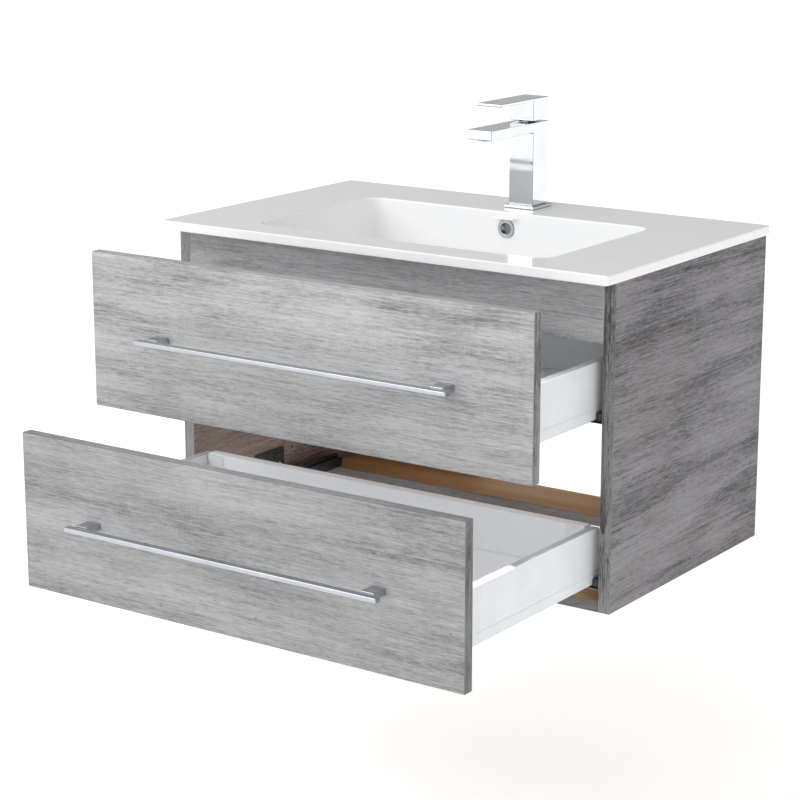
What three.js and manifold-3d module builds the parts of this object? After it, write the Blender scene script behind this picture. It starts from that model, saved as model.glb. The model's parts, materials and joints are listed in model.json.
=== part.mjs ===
// Wall-hung bathroom vanity: a two-drawer cabinet with a one-piece sink top and a single-lever faucet.
// Millimetres, +Z up. The origin is the centre of the hanging rail's back face: the wall is the plane
// y = 0, the front of the cabinet looks along -Y, and +X is to the right of a person facing it.
import * as THREE from "three";
import { mergeVertices } from "three/addons/utils/BufferGeometryUtils.js";
import Module from "manifold-3d";

const wasm = await Module();
wasm.setup();

// ---------------------------------------------------------------- driving dimensions

const GAP = 0.25; // air between pieces that touch
const ARRIS = 0.75; // chamfer on the edges of boards

// Sink top
const SINK_WIDTH = 762;
const SINK_DEPTH = 476;
const SINK_THICK = 14;
const SINK_TOP_Z = 64; // above the centre of the hanging rail
const SINK_EDGE = 1.5; // rounding of the slab's edges
const SINK_CORNER = 4; // plan radius of the slab's corners
const BOWL_WIDTH = 500;
const BOWL_FRONT_Y = -418;
const BOWL_BACK_Y = -121;
const BOWL_DEEP = 95; // slab top to bowl floor
const BOWL_CORNER = 26; // plan radius of the bowl's corners
const BOWL_FILLET = 24; // radius between walls and floor
const BOWL_WALL = 6;
const BOWL_FLOOR = 8;
const OVERFLOW_Z = 38;
const OVERFLOW_HOLE_R = 12;
const CHANNEL_WIDTH = 32; // overflow channel, inside
const CHANNEL_DEEP = 8;
const CHANNEL_WALL = 3;

// Cabinet
const CABINET_WIDTH = 750;
const CABINET_FRONT_Y = -441;
const CABINET_HEIGHT = 463;
const SIDE_THICK = 18;
const BOARD = 16; // thickness of rails and back panels
const TOP_RAIL_HEIGHT = 86;
const BOTTOM_RAIL_FRONT_DEEP = 44;
const BOTTOM_RAIL_BACK_DEEP = 96;
const HANGING_RAIL_HEIGHT = 100;
const BACK_OPENING = 232; // between the back panels
const PLUMBING_WIDTH = 200; // cut-out of the upper drawer
const PIN_HOLE_R = 2.5;
const PIN_HOLE_DEEP = 10;
const PIN_HOLE_ROWS_Z = [-108, -342];
const PIN_HOLE_COLUMNS_Y = [-198, -166];
const BRACKET_LEG = 60;
const BRACKET_HEIGHT = 60;
const BRACKET_HOLES_Z = [-15, 15];
const BRACKET_HOLE_R = 3;
const BRACKET_HOLE_REACH = 40; // from the corner, on both legs
const STEEL = 2;

// Drawers
const FRONT_WIDTH = 744;
const FRONT_HEIGHT = 226.5;
const FRONT_THICK = 17;
const FRONT_REVEAL = 7.5; // gap between the two fronts
const FRONT_TOP_Z = 43;
const LOWER_FRONT_TOP_Z = FRONT_TOP_Z - FRONT_HEIGHT - FRONT_REVEAL;
const FRONT_STAND_OFF = 1; // front to cabinet when closed
const BOX_ABOVE_FRONT_BOTTOM = 41;
const BOX_WIDTH = 690;
const BOX_LENGTH = 357; // bottom board and back
const WALL_LENGTH = 359;
const WALL_THICK = 12;
const WALL_HEIGHT = 80;
const WALL_SHEET = 1.25;
const WALL_END_R = 9; // rounding of the walls' top rear corners
const WALL_ROUND = 1.5; // chamfer along the walls' top edges
const GROOVE_Z = 16;
const GROOVE_DEEP = 0.75;
const BACK_ABOVE_WALL = 1.5;
const TRIM_BELOW_WALL = 1; // fence and clips
const BOTTOM_LOW = 2; // drawer bottom board above the lower edge of the walls
const CLIP_LEG = 30;
const CUTOUT_DEEP = 220;
const FENCE_CLEARANCE = 1; // cut-out edge to fence
const UPPER_OPEN = 181; // opening of each drawer at rest
const LOWER_OPEN = 335;

// Handles
const HANDLE_LENGTH = 526;
const HANDLE_CENTRES = 482;
const BAR_DEEP = 12;
const BAR_HIGH = 7;
const POST_WIDTH = 21;
const POST_HIGH = 10;
const POST_DEEP = 27;
const HANDLE_BELOW_CENTRE = 0.5;
const HANDLE_EDGE = 0.5; // chamfer on its edges

// Runners. U is the distance inwards from the cabinet side; heights are from the lower edge of the
// drawer wall. The members nest inside the hollow wall: a rib, an inverted channel over it, another
// over that.
const RUNNER_LENGTH = 350;
const RUNNER_SHEET = 1.5;
const RUNNER_LOW = -20;
const WEB_TOP = -2.5;
const BEAM_WIDTH = 22;
const BEAM_END_R = 7;
const NOSE_LENGTH = 39; // shallow front end of the cabinet member
const NOSE_TOP = 8;
const RIB = { u: 17.25, top: 4.5 };
const MIDDLE_CHANNEL = { u0: 15.5, u1: 20.5, low: -1.5, top: 7.25, sheet: 1.25 };
const DRAWER_CHANNEL = { u0: 13.5, u1: 22.5, low: -1, top: 9.5, sheet: 1.25 };
const BAR_ABOVE_WEB = 1; // the upright sheet over the web
const GUIDE_BLOCK = { u1: 11, y0: 2, y1: 22, top: 10 };
const PLATE_FROM_FRONT = 147;
const PLATE_LENGTH = 73;
const PLATE_TOP = 40;
const PLATE_SLOTS = 4;
const PLATE_SLOT_Z = 13;
const PLATE_SLOT_R = 3; // also half of the distance between its end circles
const PLATE_HOLES_Z = [26, 34];
const PLATE_HOLE_R = 2;

// Faucet and drain
const FAUCET_Y = -60;
const FAUCET_WIDTH = 42.5;
const FAUCET_DEEP = 42.5;
const BASE_WIDTH = 54;
const BASE_THICK = 5;
const BODY_TOP_Z = 196;
const SPOUT_REACH = 117; // in front of the body
const SPOUT_THICK = 15;
const LEVER_LENGTH = 134;
const LEVER_TOP_Z = 232.5;
const LEVER_THICK = 4.5;
const LEVER_GAP = 2.5; // air between body and lever
const LEVER_PIVOT_UP = 10; // pin above the lower face of the lever
const LEVER_RELIEF = { y: 20, z: 8 }; // slope under the lever's back, which lets it tip
const SHANK_R = 14;
const SHANK_CLEARANCE = 3; // around the shank, in the slab
const CARTRIDGE_BORE = { r: 13, deep: 22 };
const AERATOR_BORE = { r: 12, deep: 8 };
const AERATOR_FROM_TIP = 16;
const STEM_NECK_R = 12.5;
const STEM_HALF = 4.5; // half of the width of the stem's square end
const LEVER_PIN_R = 1.5;
const LEVER_PIN_HALF = 19.5; // half of its length
const LEVER_POCKET_R = 17;
const SHANK_LOW_Z = 14;
const INLET = { x: 7, r: 5 };
const WASHER = { r: 24, thick: 3 };
const NUT = { r: 21, thick: 10 };
const DRAIN_R = 21.5;
const DRAIN_BORE_R = 18;
const DRAIN_BODY_LENGTH = 45; // below the bowl floor
const DRAIN_FLANGE = { r: 32, thick: 2.5 };
const DRAIN_WINDOW = { half: 8, length: 40, high: 5 }; // lets the overflow in
const DRAIN_NUT = { r: 31, thick: 9 };
const PLUG_R = 17;
const PLUG_STEM_R = 4;
const TAIL_R = 16;
const TAIL_BORE_R = 14.25;
const TAIL_COLLAR = { r: 19, length: 9 };
const TAIL_LOW_Z = -136;

// Worked out from them
const CABINET_TOP_Z = SINK_TOP_Z - SINK_THICK;
const CABINET_LOW_Z = CABINET_TOP_Z - CABINET_HEIGHT;
const INSIDE_X = CABINET_WIDTH / 2 - SIDE_THICK;
const BOWL_MIDDLE_Y = (BOWL_FRONT_Y + BOWL_BACK_Y) / 2;
const BOWL_FLOOR_Z = SINK_TOP_Z - BOWL_DEEP;
const BOWL_UNDER_Z = BOWL_FLOOR_Z - BOWL_FLOOR;
const FLOOR_TOP = BOTTOM_LOW + BOARD;

// ---------------------------------------------------------------- materials

const finish = (color, roughness, metalness = 0) =>
  new THREE.MeshStandardMaterial({ color, roughness, metalness });

const GREY_LAMINATE = finish(0xb4b4b3, 0.6);
const BROWN_BOARD = finish(0xa3825d, 0.7);
const WHITE_BOARD = finish(0xe6e8ea, 0.5);
const WHITE_STEEL = finish(0xd9dddf, 0.45, 0.2);
const BLACK_STEEL = finish(0x26262a, 0.5, 0.5);
const ZINC_STEEL = finish(0xa8abb0, 0.4, 0.9);
const SINK_WHITE = finish(0xf4f4f4, 0.15);
const CHROME = finish(0xd5d9dc, 0.08, 1);
const BRASS = finish(0xc3a45c, 0.35, 1);
const GREY_PLASTIC = finish(0xc9cbcd, 0.5);

// ---------------------------------------------------------------- shapes

// A closed three.js geometry as a solid that can be cut and joined.
function solid(geometry) {
  const bare = geometry.index ? geometry.toNonIndexed() : geometry.clone();
  bare.deleteAttribute("normal");
  bare.deleteAttribute("uv");
  const merged = mergeVertices(bare, 1e-4);
  return new wasm.Manifold(
    new wasm.Mesh({
      numProp: 3,
      vertProperties: merged.attributes.position.array,
      triVerts: new Uint32Array(merged.index.array),
    }),
  );
}

function geometryOf(made) {
  const { numProp, vertProperties, triVerts } = made.getMesh();
  const geometry = new THREE.BufferGeometry();
  const vertices = new THREE.InterleavedBuffer(vertProperties, numProp);
  geometry.setAttribute("position", new THREE.InterleavedBufferAttribute(vertices, 3, 0));
  geometry.setIndex(new THREE.BufferAttribute(triVerts, 1));
  const flat = geometry.toNonIndexed();
  flat.computeVertexNormals();
  return flat;
}

function cut(base, ...tools) {
  return geometryOf(tools.reduce((made, tool) => made.subtract(solid(tool)), solid(base)));
}

function join(base, ...more) {
  return geometryOf(more.reduce((made, piece) => made.add(solid(piece)), solid(base)));
}

// An outline of straight lines through [u, v] points.
function outline(points) {
  return new THREE.Shape(points.map(([u, v]) => new THREE.Vector2(u, v)));
}

function rectangle(u0, u1, v0, v1) {
  return outline([[u0, v0], [u1, v0], [u1, v1], [u0, v1]]);
}

function chamferedRectangle(u0, u1, v0, v1, c) {
  return outline([
    [u0 + c, v0], [u1 - c, v0], [u1, v0 + c], [u1, v1 - c],
    [u1 - c, v1], [u0 + c, v1], [u0, v1 - c], [u0, v0 + c],
  ]);
}

function roundedRectangle(u0, u1, v0, v1, r) {
  const shape = new THREE.Shape();
  shape.absarc(u1 - r, v0 + r, r, -Math.PI / 2, 0);
  shape.absarc(u1 - r, v1 - r, r, 0, Math.PI / 2);
  shape.absarc(u0 + r, v1 - r, r, Math.PI / 2, Math.PI);
  shape.absarc(u0 + r, v0 + r, r, Math.PI, 1.5 * Math.PI);
  return shape;
}

// Extrudes an outline along Z from low to high. An edge above 0 bevels both ends inside those limits.
function prismZ(shape, low, high, { edge = 0, edgeSteps = 1, curveSegments = 6 } = {}) {
  return new THREE.ExtrudeGeometry(shape, {
    depth: high - low - 2 * edge,
    curveSegments,
    steps: 1,
    bevelEnabled: edge > 0,
    bevelThickness: edge,
    bevelSize: edge,
    bevelOffset: -edge,
    bevelSegments: edgeSteps,
  }).translate(0, 0, low + edge);
}

// Extrudes a [y, z] outline along X.
function prismX(shape, low, high, options) {
  const turned = new THREE.Matrix4().makeBasis(
    new THREE.Vector3(0, 1, 0),
    new THREE.Vector3(0, 0, 1),
    new THREE.Vector3(1, 0, 0),
  );
  return prismZ(shape, low, high, options).applyMatrix4(turned);
}

// Extrudes an [x, z] outline along Y. Its u axis is -X there, so the outline is given mirrored in x.
function prismY(shape, low, high, options) {
  return prismZ(shape, -high, -low, options).rotateX(Math.PI / 2);
}

// A box between two corners; an edge above 0 chamfers all of its edges.
function board([x0, y0, z0], [x1, y1, z1], edge = ARRIS) {
  const shape = edge > 0 ? chamferedRectangle(x0, x1, y0, y1, edge) : rectangle(x0, x1, y0, y1);
  return prismZ(shape, z0, z1, { edge });
}

const plain = (low, high) => board(low, high, 0);

// A round bar along Z.
function rod(x, y, r, low, high, sides = 24) {
  return new THREE.CylinderGeometry(r, r, high - low, sides)
    .rotateX(Math.PI / 2)
    .translate(x, y, (low + high) / 2);
}

// A body of revolution about the vertical line through (x, y), from [radius, z] points.
function turned(x, y, points, sides = 32) {
  return new THREE.LatheGeometry(points.map(([r, z]) => new THREE.Vector2(r, z)), sides)
    .rotateX(Math.PI / 2)
    .translate(x, y, 0);
}

function mesh(name, geometry, material) {
  const made = new THREE.Mesh(geometry, material);
  made.name = name;
  return made;
}

// The right-hand twin of a left-hand geometry: x changes sign and each triangle is turned over.
function mirrored(geometry) {
  const flipped = geometry.index ? geometry.toNonIndexed() : geometry.clone();
  const { array } = flipped.attributes.position;
  for (let i = 0; i < array.length; i += 9) {
    const second = array.slice(i + 3, i + 6);
    array.copyWithin(i + 3, i + 6, i + 9);
    array.set(second, i + 6);
  }
  for (let i = 0; i < array.length; i += 3) array[i] = -array[i];
  flipped.computeVertexNormals();
  return flipped;
}

// One mesh on each side: the geometry is drawn for the left.
function pair(stem, geometry, material) {
  return [
    mesh(stem + "_left", geometry, material),
    mesh(stem + "_right", mirrored(geometry), material),
  ];
}

const group = new THREE.Group();
group.name = "vanity";

// ---------------------------------------------------------------- cabinet

function sidePanelLeft() {
  const panel = board([-CABINET_WIDTH / 2, CABINET_FRONT_Y, CABINET_LOW_Z], [-INSIDE_X, 0, CABINET_TOP_Z]);
  const hole = (y, z) =>
    new THREE.CylinderGeometry(PIN_HOLE_R, PIN_HOLE_R, 2 * PIN_HOLE_DEEP, 12)
      .rotateZ(Math.PI / 2)
      .translate(-INSIDE_X, y, z);
  const holes = [];
  for (const z of PIN_HOLE_ROWS_Z) for (const y of PIN_HOLE_COLUMNS_Y) holes.push(hole(y, z));
  return cut(panel, ...holes);
}

// The left corner angle behind the hanging rail's end, with its screw holes.
function hangingBracket() {
  const x0 = -INSIDE_X + GAP;
  const x1 = x0 + BRACKET_LEG;
  const rear = -BOARD - GAP;
  const front = rear - BRACKET_LEG;
  const angle = prismZ(
    outline([
      [x0, rear], [x0, front], [x0 + STEEL, front],
      [x0 + STEEL, rear - STEEL], [x1, rear - STEEL], [x1, rear],
    ]),
    -BRACKET_HEIGHT / 2,
    BRACKET_HEIGHT / 2,
  );
  const drill = () => new THREE.CylinderGeometry(BRACKET_HOLE_R, BRACKET_HOLE_R, 5 * STEEL, 12);
  const holes = BRACKET_HOLES_Z.flatMap((z) => [
    drill().rotateZ(Math.PI / 2).translate(x0, rear - BRACKET_HOLE_REACH, z),
    drill().translate(x0 + BRACKET_HOLE_REACH, rear, z),
  ]);
  return cut(angle, ...holes);
}

function cabinet() {
  const x = INSIDE_X - GAP;
  const low = CABINET_LOW_Z;
  const railTop = low + BOARD;
  const panelTop = -HANGING_RAIL_HEIGHT / 2;
  return [
    ...pair("side_panel", sidePanelLeft(), GREY_LAMINATE),
    mesh(
      "front_rail_top",
      board(
        [-x, CABINET_FRONT_Y, CABINET_TOP_Z - TOP_RAIL_HEIGHT],
        [x, CABINET_FRONT_Y + BOARD, CABINET_TOP_Z - GAP],
      ),
      GREY_LAMINATE,
    ),
    mesh(
      "bottom_rail_front",
      board([-x, CABINET_FRONT_Y, low], [x, CABINET_FRONT_Y + BOTTOM_RAIL_FRONT_DEEP, railTop]),
      BROWN_BOARD,
    ),
    mesh("bottom_rail_back", board([-x, -BOTTOM_RAIL_BACK_DEEP, low], [x, 0, railTop]), BROWN_BOARD),
    mesh("hanging_rail", board([-x, -BOARD, panelTop], [x, 0, CABINET_TOP_Z - GAP]), BROWN_BOARD),
    ...pair(
      "back_panel",
      board([-x, -BOARD, railTop + GAP], [-BACK_OPENING / 2, 0, panelTop - GAP]),
      BROWN_BOARD,
    ),
    ...pair("hanging_bracket", hangingBracket(), ZINC_STEEL),
  ];
}

// ---------------------------------------------------------------- runners

// Outline of the left cabinet member's upright sheet, in [y, z], with its screw slots and round holes.
function runnerUpright() {
  const shape = new THREE.Shape();
  const barTop = WEB_TOP + BAR_ABOVE_WEB;
  const endY = RUNNER_LENGTH - BEAM_END_R;
  const plateEnd = PLATE_FROM_FRONT + PLATE_LENGTH;
  shape.moveTo(0, WEB_TOP - RUNNER_SHEET);
  shape.lineTo(NOSE_LENGTH, WEB_TOP - RUNNER_SHEET);
  shape.lineTo(NOSE_LENGTH, RUNNER_LOW);
  shape.absarc(endY, RUNNER_LOW + BEAM_END_R, BEAM_END_R, -Math.PI / 2, 0);
  shape.absarc(endY, barTop - BEAM_END_R, BEAM_END_R, 0, Math.PI / 2);
  shape.lineTo(plateEnd, barTop);
  shape.lineTo(plateEnd, PLATE_TOP);
  shape.lineTo(PLATE_FROM_FRONT, PLATE_TOP);
  shape.lineTo(PLATE_FROM_FRONT, barTop);
  shape.lineTo(NOSE_LENGTH, barTop);
  shape.lineTo(NOSE_LENGTH, NOSE_TOP);
  shape.lineTo(0, NOSE_TOP);
  for (let column = 0; column < PLATE_SLOTS; column += 1) {
    const y = PLATE_FROM_FRONT + ((column + 0.75) * PLATE_LENGTH) / (PLATE_SLOTS + 0.5);
    const slot = new THREE.Path();
    slot.absarc(y, PLATE_SLOT_Z + PLATE_SLOT_R, PLATE_SLOT_R, 0, Math.PI);
    slot.absarc(y, PLATE_SLOT_Z - PLATE_SLOT_R, PLATE_SLOT_R, Math.PI, 2 * Math.PI);
    shape.holes.push(slot);
    for (const z of PLATE_HOLES_Z) {
      shape.holes.push(new THREE.Path().absarc(y, z, PLATE_HOLE_R, 0, 2 * Math.PI));
    }
  }
  return shape;
}

// The left cabinet member: an inverted channel screwed to the side, with a rib on it for the moving ones.
function cabinetRunner() {
  const outer = -INSIDE_X + GAP;
  const inner = outer + BEAM_WIDTH;
  const rib = -INSIDE_X + RIB.u;
  const s = RUNNER_SHEET;
  const webLow = WEB_TOP - s;
  const end = RUNNER_LENGTH - BEAM_END_R;
  return join(
    prismX(runnerUpright(), outer, outer + s, { curveSegments: 3 }),
    plain([outer, 0, webLow], [inner, end, WEB_TOP]),
    plain([inner - s, NOSE_LENGTH, RUNNER_LOW], [inner, end, WEB_TOP]),
    plain([rib, 0, webLow], [rib + s, end, RIB.top]),
    plain([outer, GUIDE_BLOCK.y0, webLow], [-INSIDE_X + GUIDE_BLOCK.u1, GUIDE_BLOCK.y1, GUIDE_BLOCK.top]),
  );
}

// A left-hand moving member: an inverted channel, open below and at both ends.
function channel({ u0, u1, low, top, sheet }) {
  const x0 = -INSIDE_X + u0;
  const x1 = -INSIDE_X + u1;
  const roof = top - sheet;
  return prismY(
    outline([
      [x0, low], [x0 + sheet, low], [x0 + sheet, roof], [x1 - sheet, roof],
      [x1 - sheet, low], [x1, low], [x1, top], [x0, top],
    ]),
    GAP,
    RUNNER_LENGTH,
  );
}

// ---------------------------------------------------------------- drawers

// Section of the left steel wall: a folded sheet, hollow and open below, with a pressed groove.
function drawerWall() {
  const outer = -BOX_WIDTH / 2;
  const inner = outer + WALL_THICK;
  const s = WALL_SHEET;
  const top = WALL_HEIGHT;
  const round = WALL_ROUND;
  const pressed = outer + GROOVE_DEEP;
  const z = GROOVE_Z;
  const wall = prismY(
    outline([
      [outer, 0], [outer + s, 0], [outer + s, z - 1], [pressed + s, z], [pressed + s, z + 1],
      [outer + s, z + 2], [outer + s, top - s], [inner - s, top - s], [inner - s, 0], [inner, 0],
      [inner, top - round],
      [inner - round, top], [outer + round, top], [outer, top - round],
      [outer, z + 2], [pressed, z + 1], [pressed, z], [outer, z - 1],
    ]),
    GAP,
    WALL_LENGTH,
  );
  const corner = new THREE.Shape();
  const past = 1;
  corner.moveTo(WALL_LENGTH - WALL_END_R, WALL_HEIGHT + past);
  corner.absarc(WALL_LENGTH - WALL_END_R, WALL_HEIGHT - WALL_END_R, WALL_END_R, Math.PI / 2, 0, true);
  corner.lineTo(WALL_LENGTH + past, WALL_HEIGHT - WALL_END_R);
  corner.lineTo(WALL_LENGTH + past, WALL_HEIGHT + past);
  return cut(wall, prismX(corner, outer - past, inner + past));
}

// The left clip that holds the end of the back board: a U in plan, around the board.
function backClip() {
  const sheet = WALL_SHEET;
  const end = -BOX_WIDTH / 2 + WALL_THICK + 2 * GAP;
  const front = BOX_LENGTH - BOARD - 2 * sheet - 2 * GAP;
  return prismZ(
    outline([
      [end, front], [end + CLIP_LEG, front], [end + CLIP_LEG, front + sheet], [end + sheet, front + sheet],
      [end + sheet, BOX_LENGTH - sheet], [end + CLIP_LEG, BOX_LENGTH - sheet], [end + CLIP_LEG, BOX_LENGTH],
      [end, BOX_LENGTH],
    ]),
    FLOOR_TOP + GAP,
    WALL_HEIGHT - TRIM_BELOW_WALL,
  );
}

function fence() {
  const half = PLUMBING_WIDTH / 2 + FENCE_CLEARANCE;
  const front = BOX_LENGTH - CUTOUT_DEEP - FENCE_CLEARANCE;
  return prismZ(
    outline([
      [-half, BOX_LENGTH], [-half - STEEL, BOX_LENGTH], [-half - STEEL, front - STEEL],
      [half + STEEL, front - STEEL], [half + STEEL, BOX_LENGTH], [half, BOX_LENGTH],
      [half, front], [-half, front],
    ]),
    FLOOR_TOP + GAP,
    WALL_HEIGHT - TRIM_BELOW_WALL,
  );
}

function handle(stem) {
  const z = FRONT_HEIGHT / 2 - BOX_ABOVE_FRONT_BOTTOM - HANDLE_BELOW_CENTRE;
  const face = -FRONT_THICK;
  const barBack = face - POST_DEEP;
  const bar = board(
    [-HANDLE_LENGTH / 2, barBack - BAR_DEEP, z - BAR_HIGH / 2],
    [HANDLE_LENGTH / 2, barBack, z + BAR_HIGH / 2],
    HANDLE_EDGE,
  );
  const middle = -HANDLE_CENTRES / 2;
  const post = board(
    [middle - POST_WIDTH / 2, barBack + GAP, z - POST_HIGH / 2],
    [middle + POST_WIDTH / 2, face - GAP, z + POST_HIGH / 2],
    HANDLE_EDGE,
  );
  return [mesh(stem + "_handle_bar", bar, CHROME), ...pair(stem + "_handle_post", post, CHROME)];
}

// A drawer in its own frame: y = 0 is the back of the front, z = 0 the lower edge of the side walls.
function drawer(stem, hasCutout) {
  const frontLow = -BOX_ABOVE_FRONT_BOTTOM;
  const front = board(
    [-FRONT_WIDTH / 2, -FRONT_THICK, frontLow],
    [FRONT_WIDTH / 2, 0, frontLow + FRONT_HEIGHT],
  );
  const innerX = BOX_WIDTH / 2 - WALL_THICK - 2 * GAP;
  const bottom = plain([-innerX, 2 * GAP, BOTTOM_LOW], [innerX, BOX_LENGTH, FLOOR_TOP]);
  const half = PLUMBING_WIDTH / 2;
  const notch = plain([-half, BOX_LENGTH - CUTOUT_DEEP, -1], [half, BOX_LENGTH + 1, FLOOR_TOP + 1]);
  const backFront = BOX_LENGTH - BOARD - WALL_SHEET - GAP;
  const backX = innerX - WALL_SHEET - GAP;
  const fromX = hasCutout ? -half - FENCE_CLEARANCE - STEEL - GAP : backX;
  const back = board(
    [-backX, backFront, FLOOR_TOP + GAP],
    [fromX, backFront + BOARD, WALL_HEIGHT + BACK_ABOVE_WALL],
    ARRIS,
  );
  const made = new THREE.Group();
  made.add(
    mesh(stem + "_front", front, GREY_LAMINATE),
    mesh(stem + "_bottom", hasCutout ? cut(bottom, notch) : bottom, WHITE_BOARD),
    ...pair(stem + "_side", drawerWall(), WHITE_STEEL),
    ...pair(stem + "_back_clip", backClip(), WHITE_STEEL),
    ...pair(stem + "_runner", channel(DRAWER_CHANNEL), BLACK_STEEL),
    ...handle(stem),
  );
  if (hasCutout) {
    made.add(...pair(stem + "_back", back, WHITE_BOARD), mesh(stem + "_fence", fence(), WHITE_STEEL));
  } else {
    made.add(mesh(stem + "_back", back, WHITE_BOARD));
  }
  return made;
}

// Each drawer with its runners, at its opening at rest. The middle members are half as far out.
function drawerSet() {
  const closedBack = CABINET_FRONT_Y - FRONT_STAND_OFF;
  const runnerFront = CABINET_FRONT_Y + 1;
  const rows = [
    { stem: "upper_drawer", runner: "upper", open: UPPER_OPEN, top: FRONT_TOP_Z },
    { stem: "lower_drawer", runner: "lower", open: LOWER_OPEN, top: LOWER_FRONT_TOP_Z },
  ];
  return rows.flatMap(({ stem, runner, open, top }) => {
    const z = top - FRONT_HEIGHT + BOX_ABOVE_FRONT_BOTTOM;
    const moving = drawer(stem, stem === "upper_drawer");
    moving.position.set(0, closedBack - open, z);
    const middle = new THREE.Group();
    middle.position.set(0, runnerFront - open / 2, z);
    middle.add(...pair(runner + "_runner_middle", channel(MIDDLE_CHANNEL), BLACK_STEEL));
    const fixed = new THREE.Group();
    fixed.position.set(0, runnerFront, z);
    fixed.add(...pair(runner + "_runner_cabinet", cabinetRunner(), BLACK_STEEL));
    return [moving, middle, fixed];
  });
}

// ---------------------------------------------------------------- sink top

// A round-cornered tub from the floor up, wider by grow on every side, used for the bowl inside and out.
function tub(grow, floorZ, topZ) {
  const half = BOWL_WIDTH / 2 + grow;
  const r = BOWL_CORNER + grow;
  const shape = roundedRectangle(-half, half, BOWL_FRONT_Y - grow, BOWL_BACK_Y + grow, r);
  return prismZ(shape, floorZ, topZ, { edge: BOWL_FILLET, edgeSteps: 4, curveSegments: 5 });
}

function sinkTop() {
  const slab = prismZ(
    roundedRectangle(-SINK_WIDTH / 2, SINK_WIDTH / 2, -SINK_DEPTH, 0, SINK_CORNER),
    CABINET_TOP_Z,
    SINK_TOP_Z,
    { edge: SINK_EDGE, edgeSteps: 2, curveSegments: 3 },
  );
  const aboveSlab = SINK_TOP_Z + 2 * BOWL_FILLET;
  const outside = solid(tub(BOWL_WALL, BOWL_UNDER_Z, aboveSlab)).subtract(
    solid(plain([-SINK_WIDTH, -SINK_DEPTH, SINK_TOP_Z - 3], [SINK_WIDTH, 0, aboveSlab + 1])),
  );
  const wallBack = BOWL_BACK_Y + BOWL_WALL;
  const half = CHANNEL_WIDTH / 2;
  const w = CHANNEL_WALL;
  const underChannel = BOWL_UNDER_Z - CHANNEL_DEEP;
  const channelBack = wallBack + CHANNEL_DEEP;
  const boss = plain(
    [-half - w, BOWL_BACK_Y - BOWL_FILLET, underChannel - w],
    [half + w, channelBack + w, SINK_TOP_Z - 5],
  );
  const sole = plain(
    [-half - w, BOWL_MIDDLE_Y - half - w, underChannel - w],
    [half + w, BOWL_BACK_Y, BOWL_UNDER_Z + 1],
  );
  const drop = plain([-half, wallBack, underChannel], [half, channelBack, OVERFLOW_Z + half]);
  const floorRun = plain([-half, BOWL_MIDDLE_Y, underChannel], [half, channelBack, BOWL_UNDER_Z]);
  const overflow = new THREE.CylinderGeometry(
    OVERFLOW_HOLE_R,
    OVERFLOW_HOLE_R,
    5 * BOWL_WALL,
    24,
  ).translate(0, BOWL_BACK_Y, OVERFLOW_Z);
  const drain = rod(0, BOWL_MIDDLE_Y, DRAIN_R + GAP, underChannel - 20, BOWL_FLOOR_Z + 20, 32);
  const faucetHole = rod(0, FAUCET_Y, SHANK_R + SHANK_CLEARANCE, 0, 2 * SINK_TOP_Z);
  const made = solid(slab)
    .add(outside)
    .add(solid(boss))
    .add(solid(sole))
    .subtract(solid(tub(0, BOWL_FLOOR_Z, aboveSlab)));
  const cutters = [drop, floorRun, overflow, drain, faucetHole];
  const whole = cutters.reduce((body, tool) => body.subtract(solid(tool)), made);
  return mesh("sink_top", geometryOf(whole), SINK_WHITE);
}

function overflowRing() {
  const ring = turned(0, 0, [
    [8.5, -6], [11.5, -6], [11.5, GAP], [14.5, GAP], [14.5, 1.25], [13.5, 2], [9.5, 2], [8.5, 1], [8.5, -6],
  ]);
  const made = mesh("overflow_ring", ring.rotateX(Math.PI / 2), CHROME);
  made.position.set(0, BOWL_BACK_Y, OVERFLOW_Z);
  return made;
}

// ---------------------------------------------------------------- drain

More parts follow.
